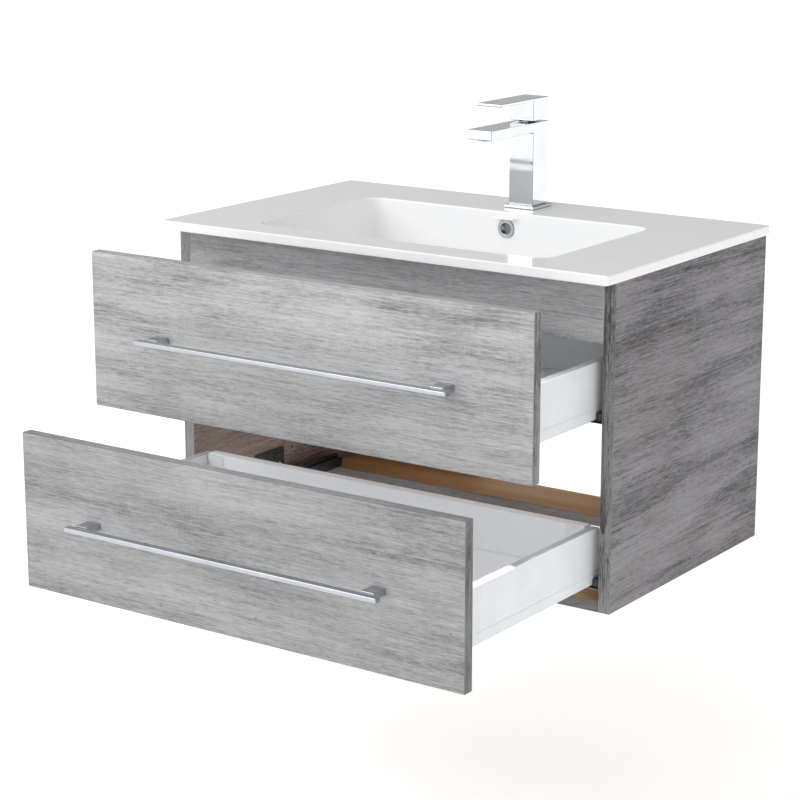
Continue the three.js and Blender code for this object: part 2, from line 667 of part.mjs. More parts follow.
function drain() {
  const y = BOWL_MIDDLE_Y;
  const floor = BOWL_FLOOR_Z;
  const inner = DRAIN_BORE_R;
  const low = floor - DRAIN_BODY_LENGTH;
  const lipTop = floor + DRAIN_FLANGE.thick;
  const body = turned(0, y, [
    [inner, lipTop], [inner, low + 12], [TAIL_BORE_R, low + 6], [TAIL_BORE_R, low],
    [TAIL_R + 1, low], [TAIL_R + 1, low + 4], [DRAIN_R, low + 10], [DRAIN_R, floor + GAP],
    [DRAIN_FLANGE.r, floor + GAP], [DRAIN_FLANGE.r, floor + 1], [DRAIN_FLANGE.r - 3, lipTop], [inner, lipTop],
  ]);
  // A bar across the bore guides the plug's stem; the window looks to the overflow channel.
  const spider = plain([-inner - 1, y - PLUG_STEM_R, floor - 30], [inner + 1, y + PLUG_STEM_R, floor - 26]);
  const windowTop = BOWL_UNDER_Z - 1;
  const window = plain(
    [-DRAIN_WINDOW.half, y, windowTop - DRAIN_WINDOW.high],
    [DRAIN_WINDOW.half, y + DRAIN_WINDOW.length, windowTop],
  );
  const stemHole = rod(0, y, PLUG_STEM_R + 0.5, floor - 40, floor, 16);
  const nutTop = BOWL_UNDER_Z - CHANNEL_DEEP - CHANNEL_WALL - GAP;
  const nut = cut(
    rod(0, y, DRAIN_NUT.r, nutTop - DRAIN_NUT.thick, nutTop, 6),
    rod(0, y, DRAIN_R + GAP, nutTop - 2 * DRAIN_NUT.thick, nutTop + 5, 32),
  );
  const tailTop = low - GAP;
  const collarLow = tailTop - TAIL_COLLAR.length;
  const tail = turned(0, y, [
    [TAIL_BORE_R, TAIL_LOW_Z], [TAIL_R, TAIL_LOW_Z], [TAIL_R, collarLow - 1], [TAIL_COLLAR.r, collarLow],
    [TAIL_COLLAR.r, tailTop], [TAIL_BORE_R, tailTop], [TAIL_BORE_R, TAIL_LOW_Z],
  ]);
  const plug = turned(0, y, [
    [0, floor - 44], [PLUG_STEM_R, floor - 43], [PLUG_STEM_R, floor - 6], [PLUG_R - 4, floor - 2.5],
    [PLUG_R, floor], [PLUG_R, floor + 1.5], [PLUG_R - 5, floor + 3], [0, floor + 3.5],
  ]);
  return [
    mesh("drain_body", cut(join(body, spider), window, stemHole), CHROME),
    mesh("drain_nut", nut, BRASS),
    mesh("drain_tailpiece", tail, GREY_PLASTIC),
    mesh("drain_plug", plug, CHROME),
  ];
}

// ---------------------------------------------------------------- faucet

function faucet() {
  const y = FAUCET_Y;
  const deck = SINK_TOP_Z;
  const back = y + FAUCET_DEEP / 2;
  const front = y - FAUCET_DEEP / 2;
  const half = FAUCET_WIDTH / 2;
  const spoutTip = front - SPOUT_REACH;
  const spoutLow = BODY_TOP_Z - SPOUT_THICK;
  const baseTop = deck + BASE_THICK;
  const aeratorY = spoutTip + AERATOR_FROM_TIP;

  const foot = BASE_WIDTH / 2;
  const plate = board([-foot, y - foot, deck + GAP], [foot, y + foot, baseTop]);
  const block = prismX(
    outline([[back, baseTop + GAP], [back, BODY_TOP_Z], [spoutTip, BODY_TOP_Z], [spoutTip, spoutLow],
      [front, spoutLow], [front, baseTop + GAP]]),
    -half,
    half,
    { edge: ARRIS },
  );
  const cartridgeBore = rod(0, y, CARTRIDGE_BORE.r, BODY_TOP_Z - CARTRIDGE_BORE.deep, BODY_TOP_Z + 5);
  const aeratorBore = rod(0, aeratorY, AERATOR_BORE.r, spoutLow - 5, spoutLow + AERATOR_BORE.deep);
  const aerator = turned(0, aeratorY, [
    [0, spoutLow + 7], [11.5, spoutLow + 7], [11.5, spoutLow - 1.5], [11, spoutLow - 2], [9.5, spoutLow - 2],
    [9, spoutLow - 1], [9, spoutLow + 1], [0, spoutLow + 1],
  ].reverse(), 24);

  // The stem stands in the body, its neck shows in the gap and its square end carries the pin.
  const leverLow = BODY_TOP_Z + LEVER_GAP;
  const pivotZ = leverLow + LEVER_PIVOT_UP;
  const neckTop = leverLow - GAP;
  const stemTop = pivotZ + 7;
  const pin = (r, reach) =>
    new THREE.CylinderGeometry(r, r, 2 * reach, 12).rotateZ(Math.PI / 2).translate(0, y, pivotZ);
  const pinHole = pin(LEVER_PIN_R + GAP, LEVER_PIN_HALF + 0.5);
  const neck = rod(0, y, STEM_NECK_R, BODY_TOP_Z - CARTRIDGE_BORE.deep + 2, neckTop);
  const square = plain([-STEM_HALF, y - STEM_HALF, neckTop - 2], [STEM_HALF, y + STEM_HALF, stemTop]);
  const stem = cut(join(neck, square), pinHole);

  const plateLow = LEVER_TOP_Z - LEVER_THICK;
  const leverBlock = prismX(
    outline([[back, LEVER_TOP_Z], [back - LEVER_LENGTH, LEVER_TOP_Z], [back - LEVER_LENGTH, plateLow],
      [front, plateLow], [front, leverLow], [back - LEVER_RELIEF.y, leverLow],
      [back, leverLow + LEVER_RELIEF.z]]),
    -half,
    half,
    { edge: ARRIS },
  );
  const pocket = rod(0, y, LEVER_POCKET_R, leverLow - 5, stemTop + 3);
  const lever = cut(leverBlock, pocket, pinHole);

  const inlet = (x) => rod(x, y, INLET.r, 0, SHANK_LOW_Z + 2, 12);
  const shank = join(rod(0, y, SHANK_R, SHANK_LOW_Z, baseTop), inlet(-INLET.x), inlet(INLET.x));
  const shankHole = rod(0, y, SHANK_R + GAP, 0, 2 * deck);
  const washerTop = CABINET_TOP_Z - GAP;
  const washerLow = washerTop - WASHER.thick;
  const nutTop = washerLow - GAP;
  return [
    mesh("faucet_base_plate", cut(plate, shankHole), CHROME),
    mesh("faucet_body", cut(block, cartridgeBore, aeratorBore), CHROME),
    mesh("faucet_aerator", aerator, CHROME),
    mesh("faucet_shank", shank, BRASS),
    mesh("faucet_washer", cut(rod(0, y, WASHER.r, washerLow, washerTop, 32), shankHole), GREY_PLASTIC),
    mesh("faucet_nut", cut(rod(0, y, NUT.r, nutTop - NUT.thick, nutTop, 6), shankHole), BRASS),
    mesh("faucet_cartridge_stem", stem, BRASS),
    mesh("faucet_lever", lever, CHROME),
    mesh("faucet_lever_pin", pin(LEVER_PIN_R, LEVER_PIN_HALF), ZINC_STEEL),
  ];
}

group.add(...cabinet(), ...drawerSet(), sinkTop(), overflowRing(), ...drain(), ...faucet());

export default group;
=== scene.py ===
import json
from math import cos, hypot, pi, radians, sin, tan

import bmesh
import bpy
from mathutils import Matrix, Vector


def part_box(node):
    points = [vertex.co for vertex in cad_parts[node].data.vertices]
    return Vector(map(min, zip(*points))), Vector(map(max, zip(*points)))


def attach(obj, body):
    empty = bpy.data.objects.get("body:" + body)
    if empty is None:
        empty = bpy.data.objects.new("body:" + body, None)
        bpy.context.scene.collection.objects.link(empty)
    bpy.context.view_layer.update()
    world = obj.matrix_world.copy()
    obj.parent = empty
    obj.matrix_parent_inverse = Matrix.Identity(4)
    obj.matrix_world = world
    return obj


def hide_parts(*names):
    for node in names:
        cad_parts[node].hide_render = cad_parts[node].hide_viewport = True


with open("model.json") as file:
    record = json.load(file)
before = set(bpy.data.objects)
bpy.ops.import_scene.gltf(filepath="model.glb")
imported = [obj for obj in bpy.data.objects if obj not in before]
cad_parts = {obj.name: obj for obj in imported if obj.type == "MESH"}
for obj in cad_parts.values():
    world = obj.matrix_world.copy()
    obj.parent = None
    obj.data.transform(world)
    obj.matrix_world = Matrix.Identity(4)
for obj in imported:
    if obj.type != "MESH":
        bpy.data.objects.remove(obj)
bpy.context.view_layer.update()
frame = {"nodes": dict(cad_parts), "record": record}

MM = 0.001
SIDES = ("left", "right")
ROWS = ("upper", "lower")
AXES = "xyz"

# ---------------------------------------------------------------- nodes of a material


def linear(channel):
    """One channel of a display colour, 0 to 1, as the shader takes it."""
    return ((channel + 0.055) / 1.055) ** 2.4 if channel > 0.04045 else channel / 12.92


def srgb(red, green, blue):
    """A colour as the shader takes it, from 8-bit display values."""
    return (*[linear(channel / 255) for channel in (red, green, blue)], 1.0)


def grey(value):
    """A neutral tone, in the shader's own values."""
    return (value, value, value, 1.0)


class Paint:
    """A material with one Principled shader, and short calls that add nodes in front of it."""

    def __init__(self, name, **values):
        self.material = bpy.data.materials.new(name)
        self.material.use_nodes = True
        self.tree = self.material.node_tree
        self.shader = self.tree.nodes["Principled BSDF"]
        self.set(**values)

    def plug(self, socket, value):
        if isinstance(value, bpy.types.NodeSocket):
            self.tree.links.new(value, socket)
        else:
            socket.default_value = value

    def set(self, **values):
        for name, value in values.items():
            self.plug(self.shader.inputs[name.replace("_", " ")], value)

    def node(self, kind, inputs=(), **settings):
        made = self.tree.nodes.new("ShaderNode" + kind)
        for name, value in settings.items():
            setattr(made, name, value)
        for key, value in dict(inputs).items():
            self.plug(made.inputs[key], value)
        return made

    def place(self):
        return self.node("TexCoord").outputs["Object"]

    def facing(self):
        return self.node("TexCoord").outputs["Normal"]

    def along_axes(self):
        """How far the surface looks along each axis, whichever way: three values."""
        return self.split(self.node("VectorMath", {0: self.facing()}, operation="ABSOLUTE").outputs[0])

    def vector(self, operation, a, b):
        return self.node("VectorMath", {0: a, 1: b}, operation=operation).outputs[0]

    def split(self, vector):
        return self.node("SeparateXYZ", {0: vector}).outputs

    def join(self, x, y, z):
        return self.node("CombineXYZ", {0: x, 1: y, 2: z}).outputs[0]

    def math(self, operation, a, b=0.0, clamp=False):
        return self.node("Math", {0: a, 1: b}, operation=operation, use_clamp=clamp).outputs[0]

    def noise(self, vector, scale=1.0, detail=3.0, roughness=0.55, distortion=0.0):
        inputs = {"Vector": vector, "Scale": scale, "Detail": detail}
        inputs.update({"Roughness": roughness, "Distortion": distortion})
        return self.node("TexNoise", inputs).outputs["Fac"]

    def span(self, value, low, high, to_low=0.0, to_high=1.0):
        """Maps low..high to to_low..to_high and holds it there."""
        inputs = {"Value": value, "From Min": low, "From Max": high, "To Min": to_low, "To Max": to_high}
        return self.node("MapRange", inputs).outputs["Result"]

    def ramp(self, value, *stops):
        made = self.node("ValToRGB", {0: value})
        elements = made.color_ramp.elements
        while len(elements) < len(stops):
            elements.new(1.0)
        for element, (position, colour) in zip(elements, stops):
            element.position, element.color = position, colour
        return made.outputs["Color"]

    def mix(self, amount, a, b, kind="MIX"):
        return self.node("Mix", {0: amount, 6: a, 7: b}, data_type="RGBA", blend_type=kind).outputs[2]

    def blend_vector(self, amount, a, b):
        return self.node("Mix", {0: amount, 4: a, 5: b}, data_type="VECTOR").outputs[1]

    def relief(self, height, strength, depth):
        """Bump of that strength; depth is its full height in metres."""
        made = self.node("Bump", {"Height": height, "Strength": strength, "Distance": depth})
        self.set(Normal=made.outputs["Normal"])


# ---------------------------------------------------------------- wood

# How much of a face's normal lies along an axis: below the first it doesn't look that way, above the
# second it does.
LOOKS = (0.55, 0.65)
SEED_STEP = (1.7, 2.3, 3.1)  # how far one board's print lies from the next one's, in metres

# The layers of the print: how often each changes per metre along and across the grain, its detail,
# roughness and distortion, its weight in the tone, and whether it follows the waves of the grain.
WOOD_LAYERS = {
    "bands": (1.1, 26.0, 4.0, 0.62, 0.2, 0.55, True),
    "streaks": (10.0, 330.0, 5.0, 0.66, 0.0, 0.62, True),
    "fibres": (70.0, 760.0, 4.0, 0.65, 0.0, 0.8, True),
    "clouds": (4.5, 9.0, 3.0, 0.55, 0.0, 0.5, False),
    "patches": (12.0, 26.0, 4.0, 0.6, 0.0, 0.22, False),
    "saw_marks": (700.0, 60.0, 2.0, 0.55, 0.0, 0.12, False),
}
WAVE_WIDTH = 11 * MM
RINGS = 15.0  # growth rings over the full swing of their noise
RING_TONE = 0.1  # how much a ring's own tone counts
RING_BORDER = 0.2  # how much darker its border is
RING_SHARPNESS = 5.0
PIT_DEPTH = 0.42  # how much darker a pit is


def grain_space(p, axis, seed):
    """Coordinates whose first component runs with the grain: along axis on the wide faces, and up on the
    faces that the grain runs into. Also returns the mask of those end faces, and how far the surface
    looks along each axis."""
    offset = tuple(seed * step for step in SEED_STEP)
    x, y, z = p.split(p.vector("ADD", p.place(), offset))
    wide = {"x": (x, y, z), "y": (y, x, z), "z": (z, x, y)}[axis]
    normal = p.along_axes()
    end = p.span(normal[AXES.index(axis)], *LOOKS)
    return p.blend_vector(end, p.join(*wide), p.join(z, x, y)), end, normal


def weathered(p, space, contrast=1.0, rings=1.0):
    """Value of weathered wood, about 0 to 1, and its fine relief, in grain space. rings is how strongly the
    growth rings show, as bands of their own tone that darken towards one wavy border."""
    def stretched(along, across):
        return p.vector("MULTIPLY", space, (along, across, across))

    sway = p.noise(stretched(1.8, 4.0), detail=2.0)
    aside = p.math("MULTIPLY", p.math("SUBTRACT", sway, 0.5), WAVE_WIDTH)
    waved = p.vector("ADD", space, p.join(0.0, aside, aside))

    def bent(along, across):
        return p.vector("MULTIPLY", waved, (along, across, across))

    def added(value, layer, weight):
        return p.math("ADD", p.math("MULTIPLY", p.math("SUBTRACT", layer, 0.5), weight), value)

    value = 0.5
    layers = {}
    for name, (along, across, detail, roughness, distortion, weight, wavy) in WOOD_LAYERS.items():
        place = bent(along, across) if wavy else stretched(along, across)
        layers[name] = p.noise(place, 1.0, detail, roughness, distortion)
        value = added(value, layers[name], weight * contrast)

    phase = p.math("MULTIPLY", p.noise(bent(0.4, 7.5), detail=2.0, roughness=0.35), RINGS)
    own_tone = p.node("TexWhiteNoise", {"W": p.math("FLOOR", phase)}, noise_dimensions="1D").outputs["Value"]
    value = added(value, own_tone, RING_TONE * rings * contrast)
    border = p.math("POWER", p.math("FRACT", phase), RING_SHARPNESS)
    border = p.math("MULTIPLY", border, p.span(layers["patches"], 0.38, 0.62))
    value = p.math("SUBTRACT", value, p.math("MULTIPLY", border, RING_BORDER * rings))

    # Small dark pits, gathered in places.
    pits = p.span(p.noise(stretched(110.0, 300.0), detail=2.5), 0.66, 0.76)
    gathered = p.span(p.noise(stretched(6.0, 12.0), detail=2.0), 0.5, 0.62)
    pitted = p.math("MULTIPLY", pits, gathered, clamp=True)
    value = p.math("SUBTRACT", value, p.math("MULTIPLY", pitted, PIT_DEPTH), clamp=True)

    raised = p.math("ADD", p.math("MULTIPLY", layers["streaks"], 0.5), layers["fibres"])
    return value, p.math("SUBTRACT", raised, p.math("MAXIMUM", border, pitted))


def squareness(p, normal):
    """How nearly a face looks along an axis: 1 on the flat faces of a box, less on its rounded edges."""
    return p.math("MAXIMUM", p.math("MAXIMUM", normal[0], normal[1]), normal[2])


GREY_STOPS = (
    (0.08, srgb(92, 91, 93)),
    (0.3, srgb(146, 145, 147)),
    (0.5, srgb(184, 184, 185)),
    (0.7, srgb(205, 206, 207)),
    (0.95, srgb(222, 223, 224)),
)
WARM_TINT = srgb(182, 175, 166)
# Painted highlight: the light tone laid on a board's rounded edges.
EDGE_HIGHLIGHT = srgb(214, 210, 204)
BANDING_CONTRAST = 2.1


def laminate(name, axis, seed, contrast, rings, face, band, top, inner=None, inward=0):
    """Weathered grey wood print on a board. face, band, top and inner are the tones of the wide faces, of the
    banding on the ends and on the edge that looks up, and of the face that looks inward, along +x or -x. The
    darker top tone is painted shade, and the warmer, lighter inner tone is painted bounce light."""
    p = Paint(name, Specular_IOR_Level=0.4)
    space, end, normal = grain_space(p, axis, seed)
    value, height = weathered(p, space, contrast, rings)
    stronger = p.span(end, 0.0, 1.0, 1.0, BANDING_CONTRAST)
    value = p.math("ADD", p.math("MULTIPLY", p.math("SUBTRACT", value, 0.5), stronger), 0.5, clamp=True)
    colour = p.ramp(value, *GREY_STOPS)
    tint = p.noise(space, 6.0, 2.0)
    colour = p.mix(p.span(tint, 0.5, 0.8, 0.0, 0.2), colour, WARM_TINT)
    # Painted highlight along the rounded edges, strongest where the surface turns furthest from the flat
    # faces.
    arris = p.span(squareness(p, normal), 0.8, 0.97, 0.5, 0.0)
    colour = p.mix(arris, colour, EDGE_HIGHLIGHT)
    tone = p.mix(end, face, band)
    # Painted shade: the edge that looks up takes the darker top tone.
    tone = p.mix(p.span(normal[2], *LOOKS), tone, top)
    # Painted bounce light: the inward face takes the warmer, lighter inner tone.
    if inner:
        toward = p.math("MULTIPLY", p.split(p.facing())[0], inward)
        tone = p.mix(p.span(toward, *LOOKS), tone, inner)
    colour = p.mix(1.0, colour, tone, "MULTIPLY")
    p.set(Base_Color=colour, Roughness=p.span(value, 0.1, 0.9, 0.62, 0.46))
    p.relief(height, 0.35, 0.4 * MM)
    return p.material


BROWN_STOPS = ((0.2, srgb(148, 110, 72)), (0.5, srgb(186, 146, 104)), (0.85, srgb(208, 172, 130)))
BAND_STOPS = ((0.2, srgb(62, 58, 55)), (0.5, srgb(100, 95, 91)), (0.85, srgb(142, 137, 132)))


def brown_board(name, seed, banded):
    """Brown board with a soft wood print; on a banded board the front and back edges are grey."""
    p = Paint(name, Specular_IOR_Level=0.35)
    space, _, normal = grain_space(p, "x", seed)
    value, height = weathered(p, space, 0.7, 0.4)
    colour = p.ramp(value, *BROWN_STOPS)
    if banded:
        colour = p.mix(p.span(normal[1], *LOOKS), colour, p.ramp(value, *BAND_STOPS))
    p.set(Base_Color=colour, Roughness=p.span(value, 0.2, 0.8, 0.68, 0.55))
    p.relief(height, 0.2, 0.3 * MM)
    return p.material


# ---------------------------------------------------------------- even finishes


def fine(name, colour, other, roughness, spread, patches, bump, depth, grains, edge=None, top=None, **values):
    """An even finish: two close tones in soft patches, uneven gloss and a fine texture. patches and grains
    are how often those and the texture change per metre, depth the texture's height. edge is the tone of
    rounded edges, a painted reflection, and top that of the faces that look up, a painted shade."""
    p = Paint(name, **values)
    place = p.place()
    tone = p.mix(p.span(p.noise(place, patches, 4.0, 0.6), 0.35, 0.65), colour, other)
    # Painted reflection: rounded edges take the edge tone.
    if edge:
        tone = p.mix(p.span(squareness(p, p.along_axes()), 0.86, 0.985, 1.0, 0.0), tone, edge)
    # Painted shade: faces that look up take the top tone.
    if top:
        tone = p.mix(p.span(p.split(p.facing())[2], 0.6, 0.8), tone, top)
    gloss = p.noise(place, patches * 2.3, 3.0)
    p.set(Base_Color=tone, Roughness=p.span(gloss, 0.3, 0.7, roughness - spread, roughness + spread))
    p.relief(p.noise(place, grains, 2.0), bump, depth)
    return p.material


def brushed(name, colour, other, along, roughness):
    """Metal with fine lines along one axis."""
    p = Paint(name, Metallic=1.0)
    scale = [1400.0, 1400.0, 1400.0]
    scale[AXES.index(along)] = 18.0
    lines = p.noise(p.vector("MULTIPLY", p.place(), tuple(scale)), 1.0, 3.0)
    gloss = p.span(lines, 0.3, 0.7, roughness - 0.05, roughness + 0.06)
    p.set(Base_Color=p.mix(lines, colour, other), Roughness=gloss)
    p.relief(lines, 0.08, 0.1 * MM)
    return p.material


# The dark grey edge tone is a painted reflection along the chrome's rounded edges.
CHROME = fine(
    "chrome", srgb(243, 245, 248), srgb(236, 239, 243), roughness=0.05, spread=0.018, patches=22.0,
    bump=0.012, depth=0.05 * MM, grains=300.0, edge=srgb(96, 100, 106), Metallic=1.0,
)
# The handles' chrome: a darker copy of the chrome, painted shade for their darker reflections, and a little
# rougher.
SHADED_CHROME = fine(
    "shaded_chrome", srgb(188, 191, 195), srgb(178, 181, 186), roughness=0.13, spread=0.03, patches=22.0,
    bump=0.02, depth=0.05 * MM, grains=500.0, Metallic=1.0,
)
SINK_GLAZE = fine(
    "sink_glaze", srgb(249, 249, 249), srgb(246, 247, 248), roughness=0.11, spread=0.025, patches=14.0,
    bump=0.02, depth=0.1 * MM, grains=60.0, Specular_IOR_Level=0.55, Coat_Weight=0.35, Coat_Roughness=0.05,
)
# The grey top tone is painted shade on the faces that look up.
WHITE_STEEL = fine(
    "white_steel", srgb(237, 239, 241), srgb(231, 234, 237), roughness=0.36, spread=0.06, patches=25.0,
    bump=0.12, depth=0.12 * MM, grains=1600.0, top=srgb(182, 184, 186),
)
WHITE_BOARD = fine(
    "white_board", srgb(250, 251, 252), srgb(246, 247, 249), roughness=0.46, spread=0.06, patches=18.0,
    bump=0.1, depth=0.15 * MM, grains=1100.0,
)
BLACK_STEEL = fine(
    "black_steel", srgb(17, 17, 18), srgb(28, 27, 27), roughness=0.34, spread=0.1, patches=60.0,
    bump=0.15, depth=0.1 * MM, grains=1800.0,
)
GREY_PLASTIC = fine(
    "grey_plastic", srgb(206, 208, 210), srgb(198, 200, 203), roughness=0.45, spread=0.06, patches=40.0,
    bump=0.08, depth=0.1 * MM, grains=1300.0,
)
BLACK_PLASTIC = fine(
    "black_plastic", srgb(36, 36, 38), srgb(48, 48, 49), roughness=0.5, spread=0.08, patches=60.0,
    bump=0.12, depth=0.1 * MM, grains=1300.0,
)
BRASS = brushed("brass", srgb(201, 168, 96), srgb(184, 149, 80), "z", 0.3)
ZINC = brushed("zinc", srgb(190, 194, 198), srgb(168, 172, 178), "x", 0.34)
BROWN_BOARD = brown_board("brown_board", seed=4, banded=False)
BANDED_BOARD = brown_board("banded_board", seed=7, banded=True)
SLOT_PAINT = {
    "sink_white": SINK_GLAZE,
    "chrome": CHROME,
    "white_steel": WHITE_STEEL,
    "white_board": WHITE_BOARD,
    "black_steel": BLACK_STEEL,
    "grey_plastic": GREY_PLASTIC,
    "brass": BRASS,
    "zinc_steel": ZINC,
    "brown_board": BROWN_BOARD,
}

# Each grey board has its own run of the print: its grain axis, where it lies in the print, its contrast, the
# strength of its rings, and the tones of its faces and edges. A side panel's inner face is warmer and
# lighter, as painted bounce light; the darker tops are painted shade, and so is the lower drawer front's
# darker tone.
PANEL = {
    "axis": "y", "contrast": 1.65, "rings": 1.0,
    "face": (0.41, 0.39, 0.41, 1.0), "band": grey(0.34), "top": grey(0.34), "inner": (0.53, 0.41, 0.35, 1.0),
}
FRONT = {"axis": "x", "contrast": 1.05, "rings": 0.4}
GREY_BOARDS = {
    "side_panel_left": {**PANEL, "seed": 1, "inward": 1},
    "side_panel_right": {**PANEL, "seed": 2, "inward": -1},
    "front_rail_top": {
        "axis": "x", "seed": 3, "contrast": 0.9, "rings": 1.0,
        "face": grey(0.69), "band": grey(0.6), "top": grey(0.6),
    },
    "upper_drawer_front": {**FRONT, "seed": 5, "face": grey(0.75), "band": grey(0.46), "top": grey(0.21)},
    # Painted shade: the lower front has the same print as the upper one, toned darker all over.
    "lower_drawer_front": {**FRONT, "seed": 6, "face": grey(0.61), "band": grey(0.33), "top": grey(0.17)},
}
BANDED_BOARDS = ("bottom_rail_front", "bottom_rail_back")

# ---------------------------------------------------------------- shapes

WELD = 0.001 * MM  # vertices closer than this are one


def finish_mesh(name, bm, material, body, sharp=38):
    """A shown object from a closed mesh, smooth but for edges sharper than that many degrees."""
    bmesh.ops.recalc_face_normals(bm, faces=bm.faces)
    bm.normal_update()
    for face in bm.faces:
        face.smooth = True
    for edge in bm.edges:
        if len(edge.link_faces) == 2:
            edge.smooth = edge.calc_face_angle(0.0) < radians(sharp)
    mesh = bpy.data.meshes.new(name)
    bm.to_mesh(mesh)
    bm.free()
    mesh.materials.append(material)
    made = bpy.data.objects.new(name, mesh)
    bpy.context.scene.collection.objects.link(made)
    level_normals(made)
    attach(made, body)
    return made


def level_normals(made):
    """Shades large faces flat and the narrow roundings between them smooth."""
    weighted = made.modifiers.new("weighted", "WEIGHTED_NORMAL")
    weighted.keep_sharp = True
    weighted.weight = 80
    levelled = bpy.data.meshes.new_from_object(made.evaluated_get(bpy.context.evaluated_depsgraph_get()))
    rough = made.data
    made.data = levelled
    made.modifiers.clear()
    bpy.data.meshes.remove(rough)


def rounded_box(low, high, radius, segments=3):
    """Mesh of a box between two corners, all of its edges rounded."""
    low, high = Vector(low), Vector(high)
    bm = bmesh.new()
    bmesh.ops.create_cube(bm, size=1.0)
    for vertex in bm.verts:
        vertex.co = Vector(low[i] + (high[i] - low[i]) * (vertex.co[i] + 0.5) for i in range(3))
    bmesh.ops.bevel(bm, geom=bm.edges[:], offset=radius, segments=segments, profile=0.5, affect="EDGES")
    return bm


def soft_corners(points, steps=4):
    """Closed outline through (u, v, radius) points, with each corner rounded to its radius."""
    made = []
    for i, (u, v, radius) in enumerate(points):
        here = Vector((u, v))
        if radius <= 0:
            made.append(here)
            continue
        before = (Vector(points[i - 1][:2]) - here).normalized()
        after = (Vector(points[(i + 1) % len(points)][:2]) - here).normalized()
        half = before.angle(after) / 2
        start, end = here + before * (radius / tan(half)), here + after * (radius / tan(half))
        centre = here + (before + after).normalized() * (radius / sin(half))
        for step in range(steps + 1):
            turned = (start - centre).slerp(end - centre, step / steps)
            made.append(centre + turned.normalized() * radius)
    return made


def prism(outline, axis, low, high, edge=0.0, segments=3):
    """Mesh of an outline extruded along an axis. Its plane is yz, xz or xy. edge rounds both ends."""
    place = {
        "x": lambda u, v, w: (w, u, v),
        "y": lambda u, v, w: (u, w, v),
        "z": lambda u, v, w: (u, v, w),
    }[axis]
    bm = bmesh.new()
    rings = [[bm.verts.new(place(u, v, w)) for u, v in outline] for w in (low, high)]
    caps = [bm.faces.new(ring) for ring in rings]
    for i in range(len(outline)):
        bm.faces.new((rings[0][i - 1], rings[0][i], rings[1][i], rings[1][i - 1]))
    if edge > 0:
        rim = [e for cap in caps for e in cap.edges]
        bmesh.ops.recalc_face_normals(bm, faces=bm.faces)
        bmesh.ops.bevel(bm, geom=rim, offset=edge, segments=segments, profile=0.5, affect="EDGES")
    return bm


def lathe(centre, points, segments=64):
    """Mesh of (radius, z) points, a closed loop or one that starts and ends on the axis, turned about Z."""
    bm = bmesh.new()
    x, y, z0 = centre
    rings = []
    for radius, z in points:
        if radius == 0:
            rings.append([bm.verts.new((x, y, z0 + z))])
            continue
        angles = [2 * pi * i / segments for i in range(segments)]
        rings.append([bm.verts.new((x + radius * cos(a), y + radius * sin(a), z0 + z)) for a in angles])
    pairs = list(zip(rings, rings[1:]))
    if points[0][0] > 0:
        pairs.append((rings[-1], rings[0]))
    for a, b in pairs:
        for i in range(segments):
            quad = [a[i % len(a)], a[(i + 1) % len(a)], b[(i + 1) % len(b)], b[i % len(b)]]
            corners = list(dict.fromkeys(quad))
            if len(corners) > 2:
                bm.faces.new(corners)
    return bm


def cylinder(x, y, radius, low, high):
    """Mesh of an upright cylinder between two heights."""
    return lathe((x, y, 0), [(0, low), (radius, low), (radius, high), (0, high)])


def skin(rings, closed):
    """Mesh through rings of points in step with each other. closed joins the last ring to the first, and
    otherwise the end rings are filled."""
    bm = bmesh.new()
    made = [[bm.verts.new(point) for point in ring] for ring in rings]
    pairs = list(zip(made, made[1:]))
    if closed:
        pairs.append((made[-1], made[0]))
    else:
        bm.faces.new(made[0])
        bm.faces.new(made[-1])
    for a, b in pairs:
        for i in range(len(a)):
            bm.faces.new((a[i - 1], a[i], b[i], b[i - 1]))
    return bm


def arc(centre, radius, start, end, steps):
    """(u, v) points on an arc, angles in degrees."""
    angles = [radians(start + (end - start) * i / steps) for i in range(steps + 1)]
    return [(centre[0] + radius * cos(a), centre[1] + radius * sin(a)) for a in angles]


def into(target, *others):
    """Puts the meshes of others in target's, as separate shells of one piece."""
    for other in others:
        mesh = bpy.data.meshes.new("part")
        other.to_mesh(mesh)
        other.free()
        target.from_mesh(mesh)
        bpy.data.meshes.remove(mesh)
    return target


def moved(bm, x=0.0, y=0.0, z=0.0):
    """The mesh, moved that far."""
    bmesh.ops.translate(bm, verts=bm.verts[:], vec=(x, y, z))
    return bm


def tipped(bm, axis, degrees):
    """The mesh, turned about an axis through the origin."""
    bmesh.ops.rotate(bm, verts=bm.verts[:], cent=(0, 0, 0), matrix=Matrix.Rotation(radians(degrees), 3, axis))
    return bm


def carved(base, cuts, joins=()):
    """The base mesh with the joins added and then the cuts taken away, as a new mesh."""
    def helper_object(bm):
        bmesh.ops.recalc_face_normals(bm, faces=bm.faces)
        mesh = bpy.data.meshes.new("helper")
        bm.to_mesh(mesh)
        bm.free()
        made = bpy.data.objects.new("helper", mesh)
        bpy.context.scene.collection.objects.link(made)
        return made

    body = helper_object(base)
    tools = [("UNION", helper_object(bm)) for bm in joins]
    tools += [("DIFFERENCE", helper_object(bm)) for bm in cuts]
    for operation, tool in tools:
        modifier = body.modifiers.new("cut", "BOOLEAN")
        modifier.operation = operation
        modifier.object = tool
        modifier.solver = "EXACT"
    result = body.evaluated_get(bpy.context.evaluated_depsgraph_get())
    bm = bmesh.new()
    bm.from_mesh(result.to_mesh())
    bmesh.ops.remove_doubles(bm, verts=bm.verts[:], dist=WELD)
    for spent in (body, *[tool for _, tool in tools]):
        bpy.data.objects.remove(spent)
    return bm


# ---------------------------------------------------------------- placing pieces


